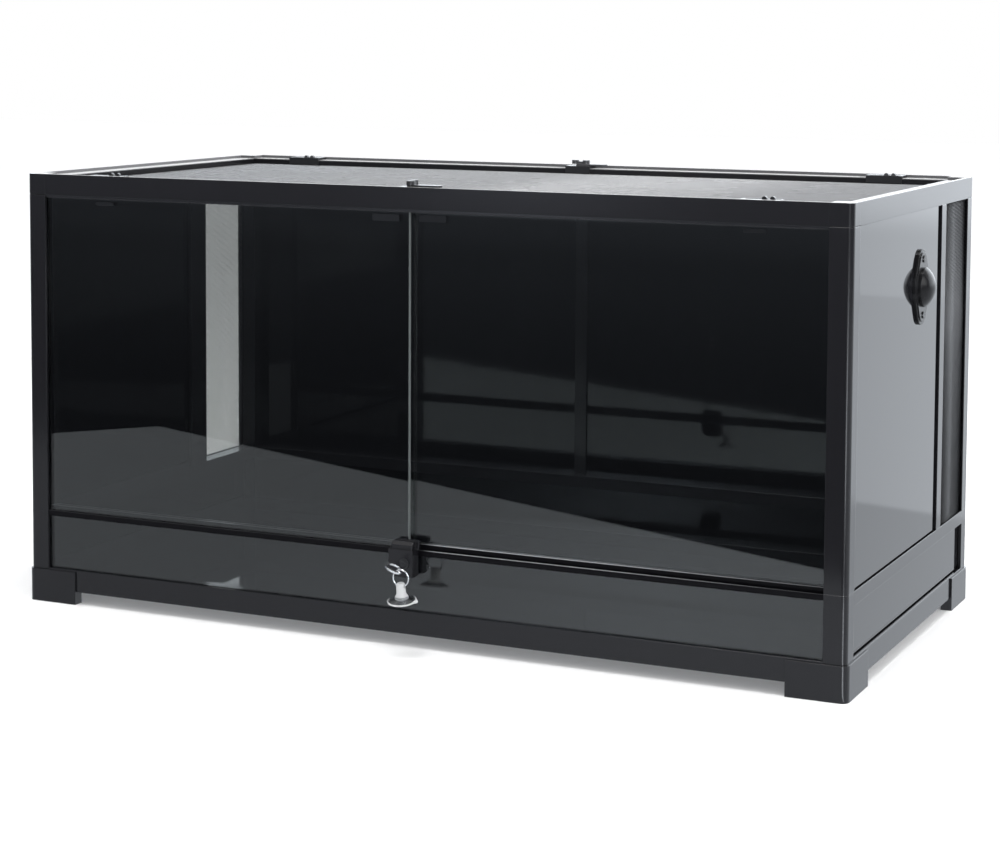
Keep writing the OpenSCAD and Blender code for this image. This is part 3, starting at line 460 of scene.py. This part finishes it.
def finish(name, color, roughness, specular=0.5, ior=1.5, metallic=0.0, transmission=0.0,
           cloud_depth=0.04, grain_size=0.0, grain_height=0.0, edge=0.0):
    material = bpy.data.materials.new(name)
    material.use_nodes = True
    tree = material.node_tree
    shader = tree.nodes["Principled BSDF"]
    shader.inputs["Base Color"].default_value = (*color, 1)
    shader.inputs["Metallic"].default_value = metallic
    shader.inputs["IOR"].default_value = ior
    shader.inputs["Specular IOR Level"].default_value = specular
    shader.inputs["Transmission Weight"].default_value = transmission
    place = tree.nodes.new("ShaderNodeTexCoord")
    clouds = tree.nodes.new("ShaderNodeTexNoise")
    clouds.inputs["Scale"].default_value = CLOUD_SIZE
    clouds.inputs["Detail"].default_value = CLOUD_DETAIL
    tree.links.new(place.outputs["Object"], clouds.inputs["Vector"])
    uneven = ramp(tree, clouds.outputs["Fac"], 0.0, 1.0, max(roughness - cloud_depth, 0),
                  roughness + cloud_depth)
    tree.links.new(uneven, shader.inputs["Roughness"])
    normal = None
    if edge:
        rounding = tree.nodes.new("ShaderNodeBevel")
        rounding.samples = BEVEL_SAMPLES
        rounding.inputs["Radius"].default_value = edge
        normal = rounding.outputs["Normal"]
    if grain_height:
        grain = tree.nodes.new("ShaderNodeTexNoise")
        grain.inputs["Scale"].default_value = grain_size
        bump = tree.nodes.new("ShaderNodeBump")
        bump.inputs["Distance"].default_value = grain_height
        bump.inputs["Strength"].default_value = GRAIN_STRENGTH
        tree.links.new(place.outputs["Object"], grain.inputs["Vector"])
        tree.links.new(grain.outputs["Fac"], bump.inputs["Height"])
        if normal:
            tree.links.new(normal, bump.inputs["Normal"])
        normal = bump.outputs["Normal"]
    if normal:
        tree.links.new(normal, shader.inputs["Normal"])
    return material


print("finish function ready")

# %% [markdown]
# ### A second finish over part of a piece
# Some pieces change along their edge or length. A mask, a number from 0 to 1 at each point, lays a
# second shader over the first. Extra strips of mesh could do it too, but they would have to be kept in
# step with the CAD model. A mask over Object coordinates follows it by itself.

# %% Cover a part of a finish
FACE_SKIN = 0.4 * MM


def step_at(tree, value, level):
    """0 below the level and 1 above it."""
    return math_of(tree, "GREATER_THAN", value, level)


def covered(material, mask, color, roughness, specular=0.5):
    """Covers the masked part of a finish with a plain one."""
    tree = material.node_tree
    base = tree.nodes["Principled BSDF"]
    cover = tree.nodes.new("ShaderNodeBsdfPrincipled")
    cover.inputs["Base Color"].default_value = (*color, 1)
    cover.inputs["Roughness"].default_value = roughness
    cover.inputs["Specular IOR Level"].default_value = specular
    mix = tree.nodes.new("ShaderNodeMixShader")
    tree.links.new(mask, mix.inputs["Fac"])
    tree.links.new(base.outputs[0], mix.inputs[1])
    tree.links.new(cover.outputs[0], mix.inputs[2])
    tree.links.new(mix.outputs[0], tree.nodes["Material Output"].inputs["Surface"])
    return material


print("cover helper ready")

# %% [markdown]
# ### Painted sheen on top of the frame
# The faces on top of the rails are rougher than the polished outer faces, and they are painted paler
# with a sheen: a painted sheen for the bright light that these ledges show at a grazing angle. The mask
# takes everything above the lid's ledge, except the outer faces and rounded corners.

# %% Paint a sheen on the tops
LEDGE_LEVEL = CABINET_TOP - 4.5 * MM
CORNER_SKIN = 8 * MM
POLISHED_ROUGHNESS = 0.13
PAINTED_SHEEN_COLOR = (0.11, 0.11, 0.115)
DULL_ROUGHNESS = 0.34
TOP_SHEEN_WEIGHT = 1.0
TOP_SHEEN_ROUGHNESS = 0.35


def painted_sheen_on_top(material):
    """Dulls the frame above the ledge and paints a pale sheen on it, except its outer faces and rounded
    corners.
    """
    tree = material.node_tree
    shader = tree.nodes["Principled BSDF"]
    x, y, z = object_axes(tree)
    mask = step_at(tree, z, LEDGE_LEVEL)
    for value, level in ((x, CABINET_LEFT + FACE_SKIN), (y, CABINET_FRONT + FACE_SKIN)):
        mask = math_of(tree, "MULTIPLY", mask, step_at(tree, value, level))
    for value, level in ((x, CABINET_RIGHT - FACE_SKIN), (y, CABINET_REAR - FACE_SKIN)):
        mask = math_of(tree, "MULTIPLY", mask, math_of(tree, "LESS_THAN", value, level))
    corner = 1.0
    for value, low, high in ((x, CABINET_LEFT, CABINET_RIGHT), (y, CABINET_FRONT, CABINET_REAR)):
        offset = math_of(tree, "ABSOLUTE", math_of(tree, "SUBTRACT", value, (low + high) / 2), 0.0)
        corner = math_of(tree, "MULTIPLY", step_at(tree, offset, (high - low) / 2 - CORNER_SKIN), corner)
    mask = math_of(tree, "SUBTRACT", mask, math_of(tree, "MULTIPLY", mask, corner))
    # painted sheen: the tops are painted paler for the light they catch at a grazing angle
    paint = tree.nodes.new("ShaderNodeMix")
    paint.data_type = "RGBA"
    color_a, color_b = (socket for socket in paint.inputs if socket.type == "RGBA")
    color_a.default_value = shader.inputs["Base Color"].default_value
    color_b.default_value = (*PAINTED_SHEEN_COLOR, 1)
    tree.links.new(mask, paint.inputs["Factor"])
    result = next(socket for socket in paint.outputs if socket.type == "RGBA")
    tree.links.new(result, shader.inputs["Base Color"])
    polished = shader.inputs["Roughness"].links[0].from_socket
    extra = math_of(tree, "MULTIPLY", mask, DULL_ROUGHNESS - POLISHED_ROUGHNESS)
    tree.links.new(math_of(tree, "ADD", polished, extra), shader.inputs["Roughness"])
    tree.links.new(math_of(tree, "MULTIPLY", mask, TOP_SHEEN_WEIGHT), shader.inputs["Sheen Weight"])
    shader.inputs["Sheen Roughness"].default_value = TOP_SHEEN_ROUGHNESS
    return material


print("ledge level", round(LEDGE_LEVEL / MM, 1), "mm")

# %% [markdown]
# ### Ground ends of the glass doors, painted pale
# The sheets of the doors are clear, with a faint green tone. Their upright ends are ground, and the
# ground face is painted pale: partly a real ground edge, partly a painted highlight for the light that
# the edge catches, so each end shows as a pale line.

# %% Grind the door ends
GROUND_SKIN = 0.3 * MM
GROUND_AND_HIGHLIGHT_COLOR = (0.14, 0.155, 0.155)
GROUND_ROUGHNESS = 0.5


def clear_glass(name):
    return finish(name, (0.93, 0.97, 0.955), roughness=0.0, ior=1.52, transmission=1.0, cloud_depth=0.0)


def ground_ends_painted_pale(material, node_name):
    """Gives the two upright ends of a glass pane a ground face, painted pale as a highlight."""
    low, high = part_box(node_name)
    tree = material.node_tree
    x = object_axes(tree)[0]
    mask = math_of(tree, "ADD", step_at(tree, x, high.x - GROUND_SKIN),
                   math_of(tree, "LESS_THAN", x, low.x + GROUND_SKIN))
    # the ends are painted pale: a ground face and a painted highlight
    return covered(material, mask, GROUND_AND_HIGHLIGHT_COLOR, GROUND_ROUGHNESS)


print("ground ends", round(GROUND_SKIN / MM, 1), "mm deep")

# %% [markdown]
# ### Shadow gaps round the side panels
# A side panel dips into grooves of the frame. The narrow gap round it is open and in shade, so it is the
# darkest line of the side; that shade is painted on the panel's edge.

# %% Darken the gaps
GAP_WIDTH = 1.8 * MM
GAP_SHADE_COLOR = (0.004, 0.004, 0.004)
GAP_ROUGHNESS = 0.9


def shadow_gap(material, front, rear, bottom, top):
    """Paints shade on a side panel along the edges of the opening that it shows in."""
    tree = material.node_tree
    y, z = object_axes(tree)[1:]
    inside = 1.0
    for value, low, high in ((y, front, rear), (z, bottom, top)):
        inside = math_of(tree, "MULTIPLY", step_at(tree, value, low + GAP_WIDTH), inside)
        inside = math_of(tree, "MULTIPLY", inside, math_of(tree, "LESS_THAN", value, high - GAP_WIDTH))
    # painted shade along the edges of the opening
    return covered(material, math_of(tree, "SUBTRACT", 1.0, inside), GAP_SHADE_COLOR, GAP_ROUGHNESS, 0.0)


print("gap", round(GAP_WIDTH / MM, 1), "mm wide")

# %% [markdown]
# ### Painted highlights on the lower door track
# The rib between the grooves and the lip in front of them catch the light, most of all beside the lock.
# These bright lines are painted on as a pale cover. Three shares of it say how much: before the lock,
# right beside it and at the far end.

# %% Paint highlights on the track
RIB_SHARES = (0.12, 0.65, 0.2)
LIP_SHARES = (0.03, 0.45, 0.03)
LIP_BELOW_RIB = 5.5 * MM
LIP_DEPTH = 2.4 * MM
LIP_HIGHLIGHT_COLOR = (0.6, 0.61, 0.64)
LIP_ROUGHNESS = 0.4
LIP_RISE = 20 * MM
LIP_PLATEAU = 150 * MM
WHOLE_TRACK = 1.0


def painted_track_highlights(material, top, from_x, end_x, front_y):
    """Paints highlights on the upper faces of the door track. Shares: before, at and far from from_x."""
    tree = material.node_tree
    x, y, z = object_axes(tree)
    shares = []
    for level, depth, (before, full, after) in ((top, WHOLE_TRACK, RIB_SHARES),
                                                (top - LIP_BELOW_RIB, LIP_DEPTH, LIP_SHARES)):
        band = math_of(tree, "MULTIPLY", step_at(tree, z, level - FACE_SKIN),
                       math_of(tree, "LESS_THAN", z, level + FACE_SKIN))
        band = math_of(tree, "MULTIPLY", band, math_of(tree, "LESS_THAN", y, front_y + depth))
        rise = ramp(tree, x, from_x, from_x + LIP_RISE, before, full)
        fall = ramp(tree, x, from_x + LIP_PLATEAU, end_x, 1.0, after / full)
        shares.append(math_of(tree, "MULTIPLY", band, math_of(tree, "MULTIPLY", rise, fall)))
    # painted highlight on the rib and the lip
    return covered(material, math_of(tree, "ADD", *shares), LIP_HIGHLIGHT_COLOR, LIP_ROUGHNESS)


print("lip", round(LIP_DEPTH / MM, 1), "mm deep")

# %% [markdown]
# ### Painted highlights on the suction cup
# The clear soft plastic catches bright light where it is thick: at the cup's rim, its tab and its neck.
# These highlights are painted on as a pale cover. The cup leans, so the mask measures the distance from
# its leaning axis, which runs through its hinge.

# %% Paint highlights on the cup
CUP_HIGHLIGHT_COLOR = (0.85, 0.86, 0.87)
CUP_HIGHLIGHT_ROUGHNESS = 0.25
CUP_HIGHLIGHT_SPECULAR = 0.8
CUP_LEAN = math.radians(10)
CUP_RADIUS = 16 * MM
RIM_BAND = 1.1 * MM
RIM_SHARE = 0.6
NECK_REACH = 7.0 * MM
NECK_SHARE = 0.6


def painted_cup_highlights(material):
    """Paints highlights on the rim, the tab and the neck of the leaning clear cup, and leaves its bell
    clear.
    """
    pivot = next(Vector(joint["pos_m"]) for joint in frame["record"]["behaviour"]["joints"]
                 if joint["name"] == "cup_swing")
    down = Vector((0, math.sin(CUP_LEAN), -math.cos(CUP_LEAN)))
    tree = material.node_tree
    place = tree.nodes.new("ShaderNodeTexCoord")
    arm, along, size = (tree.nodes.new("ShaderNodeVectorMath") for _ in range(3))
    arm.operation, along.operation, size.operation = "SUBTRACT", "DOT_PRODUCT", "LENGTH"
    arm.inputs[1].default_value = pivot
    along.inputs[1].default_value = down
    tree.links.new(place.outputs["Object"], arm.inputs[0])
    tree.links.new(arm.outputs["Vector"], along.inputs[0])
    tree.links.new(arm.outputs["Vector"], size.inputs[0])
    drop, reach = along.outputs["Value"], size.outputs["Value"]
    squares = math_of(tree, "SUBTRACT", math_of(tree, "MULTIPLY", reach, reach),
                      math_of(tree, "MULTIPLY", drop, drop))
    radius = math_of(tree, "SQRT", squares, 0.0)
    # painted highlight on the rim, the tab and the neck
    rim = math_of(tree, "MULTIPLY", step_at(tree, radius, CUP_RADIUS - RIM_BAND), RIM_SHARE)
    neck = math_of(tree, "MULTIPLY", math_of(tree, "LESS_THAN", radius, NECK_REACH), NECK_SHARE)
    return covered(material, math_of(tree, "ADD", rim, neck), CUP_HIGHLIGHT_COLOR, CUP_HIGHLIGHT_ROUGHNESS,
                   CUP_HIGHLIGHT_SPECULAR)


print("cup leans", round(math.degrees(CUP_LEAN)), "degrees")

# %% [markdown]
# ### The shared finishes
# One finish serves each material of the CAD model. The frame is extruded black plastic with a low gloss
# and a fine grain. The wall panels are smoother and mirror the room. The mesh is coated wire, the key,
# its ring and their like are bright steel, and the cup is clear soft plastic.

# %% Mix the shared finishes


def black_profile(name, specular=0.36, edge=1.2 * MM):
    return finish(name, (0.0105, 0.0105, 0.0125), POLISHED_ROUGHNESS, specular, cloud_depth=0.03,
                  grain_size=900, grain_height=0.03 * MM, edge=edge)


def gloss_sheet(name, specular=0.48):
    return finish(name, (0.005, 0.005, 0.0065), roughness=0.04, specular=specular, cloud_depth=0.02)


finishes = {
    "frame_plastic": painted_sheen_on_top(black_profile("black_profile")),
    "panel_plastic": gloss_sheet("gloss_sheet"),
    "glass": clear_glass("clear_glass"),
    "wire_mesh": finish("coated_wire", (0.016, 0.016, 0.018), roughness=0.32, cloud_depth=0.05),
    "steel": finish("bright_steel", (0.86, 0.86, 0.87), roughness=0.16, metallic=1.0, edge=0.4 * MM),
    "clear_plastic": finish("clear_soft_plastic", (0.97, 0.98, 0.98), roughness=0.05, specular=0.7,
                            ior=1.45, transmission=1.0, cloud_depth=0.02),
    "screw_steel": finish("black_screw", (0.02, 0.02, 0.022), roughness=0.32, metallic=0.6,
                          edge=0.3 * MM),
}
print("finishes:", ", ".join(finishes))

# %% [markdown]
# ### Single pieces with their own finish
# Pieces of one material still differ. The latches and inlets behind are painted paler than those in
# front, as painted light from the bright backdrop behind them; the hose port is softer than the frame,
# and the lock's cylinder is darker than the key. The clips on the doors are really clear. They are
# painted dark, as painted shade for the dark inside seen through them, because a see-through finish that
# lies flush on the glass gave a false bright patch.

# %% Mix the finishes of single pieces
# painted sheen: the lid's coated wire is painted paler than the vents' wire, for the sheen it shows at a
# grazing angle
lid_wire_painted_sheen = finish("lid_wire_painted_sheen", (0.15, 0.152, 0.157), roughness=0.28, specular=0.7, cloud_depth=0.05)
# painted shade: the clear clips are painted dark for the dark inside seen through them
clip_plastic = finish("clip_plastic", (0.011, 0.012, 0.014), roughness=0.2, specular=0.36, ior=1.46,
                      cloud_depth=0.02, edge=0.6 * MM)
port_plastic = finish("port_plastic", (0.007, 0.007, 0.008), roughness=0.24, specular=0.2,
                      grain_size=700, grain_height=0.05 * MM, edge=0.8 * MM)
front_fitting = finish("front_fitting", (0.02, 0.02, 0.022), roughness=0.3, specular=0.4, edge=0.5 * MM)
# painted light: the rear fittings are painted paler for the backdrop's light on them
rear_fitting_painted_light = finish("rear_fitting_painted_light", (0.06, 0.06, 0.064), roughness=0.36, specular=0.45,
                      edge=0.5 * MM)
lower_track_plastic = finish("lower_track_plastic", (0.004, 0.004, 0.005), roughness=0.16,
                             specular=0.08, cloud_depth=0.03, edge=0.8 * MM)
FRONT_FITTINGS = ("front_latch", "inlet_front_left", "inlet_front_right", "inlet_guides", "latch_seats")
REAR_FITTINGS = ("rear_latch", "inlet_rear_left", "inlet_rear_right")
track_start, track_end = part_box("lower_track")
lock_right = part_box("lock_body")[1].x
own_finish = {
    "left_door": ground_ends_painted_pale(clear_glass("left_door_glass"), "left_door"),
    "right_door": ground_ends_painted_pale(clear_glass("right_door_glass"), "right_door"),
    "left_door_clips": clip_plastic,
    "right_door_clips": clip_plastic,
    "port_flange": port_plastic,
    "port_plug": port_plastic,
    "lower_track": painted_track_highlights(lower_track_plastic, track_end.z, lock_right, track_end.x,
                               track_start.y),
    "suction_cup": painted_cup_highlights(finishes["clear_plastic"]),
    "upper_track": black_profile("upper_track_plastic", specular=0.9, edge=1.6 * MM),
    "lock_cylinder": finish("dark_cylinder", (0.06, 0.06, 0.062), roughness=0.3, metallic=0.9,
                            edge=0.3 * MM),
}
own_finish.update(dict.fromkeys(FRONT_FITTINGS, front_fitting))
own_finish.update(dict.fromkeys(REAR_FITTINGS, rear_fitting_painted_light))
print(len(own_finish), "single nodes so far")

# %% [markdown]
# ### The side panels
# Both sides repeat each other. The upper panel shows between the posts, the belt rail and the top rail,
# and the low panel between the bottom rail and the belt rail. Each gets its gap from those boxes.

# %% Finish the side panels
LOW_SHEET_SPECULAR = 0.41
rail_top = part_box("bottom_rail_right")[1].z
belt_low, belt_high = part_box("belt_rail_right")
post_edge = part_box("post_front_right")[1].y
rear_post_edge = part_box("post_rear_right")[0].y
for side in ("left", "right"):
    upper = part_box("side_panel_" + side)
    own_finish["side_panel_" + side] = shadow_gap(
        gloss_sheet("side_sheet_" + side), post_edge - GAP_WIDTH, upper[1].y + GAP_WIDTH,
        belt_high.z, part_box("top_rail_right")[0].z + GAP_WIDTH)
    own_finish["low_" + side + "_panel"] = shadow_gap(
        gloss_sheet("low_sheet_" + side, LOW_SHEET_SPECULAR), post_edge, rear_post_edge,
        rail_top, belt_low.z)
print("in all", len(own_finish), "single nodes with their own finish")

# %% [markdown]
# ### Painting
# Each node takes its own finish if it has one, and the finish of its slot if not.

# %% Give every CAD node its finish
slot_of_node = {part["node"]: part["material_slot"] for part in frame["record"]["subparts"]}
for node_name, node_object in frame["nodes"].items():
    node_object.data.materials.clear()
    node_object.data.materials.append(own_finish.get(node_name, finishes[slot_of_node[node_name]]))
print("painted", len(slot_of_node), "nodes")

# %% [markdown]
# ## Woven wire
# The lid and the side vents are sheets of fine wire. A real sheet has thousands of crossings, so it is
# made by Geometry Nodes: one straight eight-sided wire, instanced along a line for the warp and along
# another for the weft, the two layers touching. Real wires also bend over and under each other, which
# can't be seen at this size. The sizes are named inputs of the tree.

# %% One layer of wires
WIRE_SIDES = 8


def wire_layer(tree, inputs, length_name, across_name, turn, height_sign):
    """Nodes for one layer: wires along X or, with a quarter turn, along Y."""
    nodes = tree.nodes
    links = tree.links
    pitch, radius = inputs.outputs["Pitch"], inputs.outputs["Wire Radius"]
    width = inputs.outputs[across_name]
    count = math_of(tree, "FLOOR", math_of(tree, "DIVIDE", width, pitch), 0.0)
    first = math_of(tree, "ADD", math_of(tree, "MULTIPLY", pitch, 0.5),
                    math_of(tree, "MULTIPLY", width, -0.5))
    wire = nodes.new("GeometryNodeMeshCylinder")
    wire.inputs["Vertices"].default_value = WIRE_SIDES
    links.new(radius, wire.inputs["Radius"])
    links.new(inputs.outputs[length_name], wire.inputs["Depth"])
    smooth = nodes.new("GeometryNodeSetShadeSmooth")
    links.new(wire.outputs["Mesh"], smooth.inputs["Geometry"])
    start = nodes.new("ShaderNodeCombineXYZ")
    step = nodes.new("ShaderNodeCombineXYZ")
    across = "X" if turn else "Y"
    links.new(first, start.inputs[across])
    links.new(math_of(tree, "MULTIPLY", radius, height_sign), start.inputs["Z"])
    links.new(pitch, step.inputs[across])
    line = nodes.new("GeometryNodeMeshLine")
    links.new(count, line.inputs["Count"])
    links.new(start.outputs[0], line.inputs["Start Location"])
    links.new(step.outputs[0], line.inputs["Offset"])
    layer = nodes.new("GeometryNodeInstanceOnPoints")
    quarter = math.pi / 2
    layer.inputs["Rotation"].default_value = (quarter, 0, 0) if turn else (0, quarter, 0)
    links.new(line.outputs["Mesh"], layer.inputs["Points"])
    links.new(smooth.outputs["Geometry"], layer.inputs["Instance"])
    return layer


print("wires with", WIRE_SIDES, "sides")

# %% [markdown]
# ### The whole tree
# The tree joins the two layers, turns the instances into real mesh, because the export drops instances,
# and sets the material.

# %% Build the wire tree


def add_input(tree, name, kind, value):
    socket = tree.interface.new_socket(name, in_out="INPUT", socket_type=kind)
    socket.default_value = value


def wire_tree():
    tree = bpy.data.node_groups.new("woven_wire", "GeometryNodeTree")
    tree.interface.new_socket("Geometry", in_out="OUTPUT", socket_type="NodeSocketGeometry")
    add_input(tree, "Length", "NodeSocketFloat", 0.5)
    add_input(tree, "Width", "NodeSocketFloat", 0.3)
    add_input(tree, "Pitch", "NodeSocketFloat", 0.0015)
    add_input(tree, "Wire Radius", "NodeSocketFloat", 0.0002)
    add_input(tree, "Material", "NodeSocketMaterial", None)
    inputs = tree.nodes.new("NodeGroupInput")
    warp = wire_layer(tree, inputs, "Length", "Width", False, 1.0)
    weft = wire_layer(tree, inputs, "Width", "Length", True, -1.0)
    both = tree.nodes.new("GeometryNodeJoinGeometry")
    real = tree.nodes.new("GeometryNodeRealizeInstances")
    paint = tree.nodes.new("GeometryNodeSetMaterial")
    out = tree.nodes.new("NodeGroupOutput")
    tree.links.new(warp.outputs["Instances"], both.inputs["Geometry"])
    tree.links.new(weft.outputs["Instances"], both.inputs["Geometry"])
    tree.links.new(both.outputs["Geometry"], real.inputs["Geometry"])
    tree.links.new(real.outputs["Geometry"], paint.inputs["Geometry"])
    tree.links.new(inputs.outputs["Material"], paint.inputs["Material"])
    tree.links.new(paint.outputs["Geometry"], out.inputs["Geometry"])
    return tree


weave = wire_tree()
print("wire tree with", len(weave.nodes), "nodes")

# %% [markdown]
# ### From tree to mesh
# The tree runs once on an empty carrier, and its result is kept as a plain mesh. The carrier is then
# removed, so that nothing live is left in the scene.

# %% Bake a tree


def baked(name, tree, values):
    """Runs a tree once with these inputs and returns a plain mesh object."""
    carrier = bpy.data.objects.new(name + "_carrier", bpy.data.meshes.new(name))
    bpy.context.scene.collection.objects.link(carrier)
    modifier = carrier.modifiers.new("tree", "NODES")
    modifier.node_group = tree
    for item in tree.interface.items_tree:
        if item.in_out == "INPUT" and item.name in values:
            modifier[item.identifier] = values[item.name]
    evaluated = carrier.evaluated_get(bpy.context.evaluated_depsgraph_get())
    mesh = bpy.data.meshes.new_from_object(evaluated)
    carrier.modifiers.remove(modifier)
    bpy.data.objects.remove(carrier)
    mesh.name = name
    piece = bpy.data.objects.new(name, mesh)
    bpy.context.scene.collection.objects.link(piece)
    return piece


print("bake helper ready")

# %% [markdown]
# ### The three woven sheets
# Each sheet fills the box of the plain CAD sheet that it replaces and rides on the same body. The lid's
# wire is thinner than that of the vents.

# %% Weave the lid and the side vents
LID_PITCH = 1.6 * MM
VENT_PITCH = 1.6 * MM
LID_WIRE_RADIUS = 0.2 * MM
VENT_WIRE_RADIUS = 0.29 * MM


def woven_sheet(name, node_name, pitch, radius, material, upright, body):
    low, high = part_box(node_name)
    size = high - low
    length = size.y if upright else size.x
    width = size.z if upright else size.y
    piece = baked(name, weave, {"Length": length, "Width": width, "Pitch": pitch,
                                "Wire Radius": radius, "Material": material})
    turn = Matrix.Identity(4)
    if upright:
        # length along Y, width up, the sheet's face towards X
        turn = Matrix(((0, 0, 1, 0), (1, 0, 0, 0), (0, 1, 0, 0), (0, 0, 0, 1)))
    piece.data.transform(Matrix.Translation((low + high) / 2) @ turn)
    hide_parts(node_name)
    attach(piece, body)
    print(name, len(piece.data.polygons), "faces")


woven_sheet("lid_weave", "lid_mesh", LID_PITCH, LID_WIRE_RADIUS, lid_wire_painted_sheen, False, "lid")
for side in ("left", "right"):
    woven_sheet("vent_weave_" + side, "side_mesh_" + side, VENT_PITCH, VENT_WIRE_RADIUS,
                finishes["wire_mesh"], True, "cabinet")
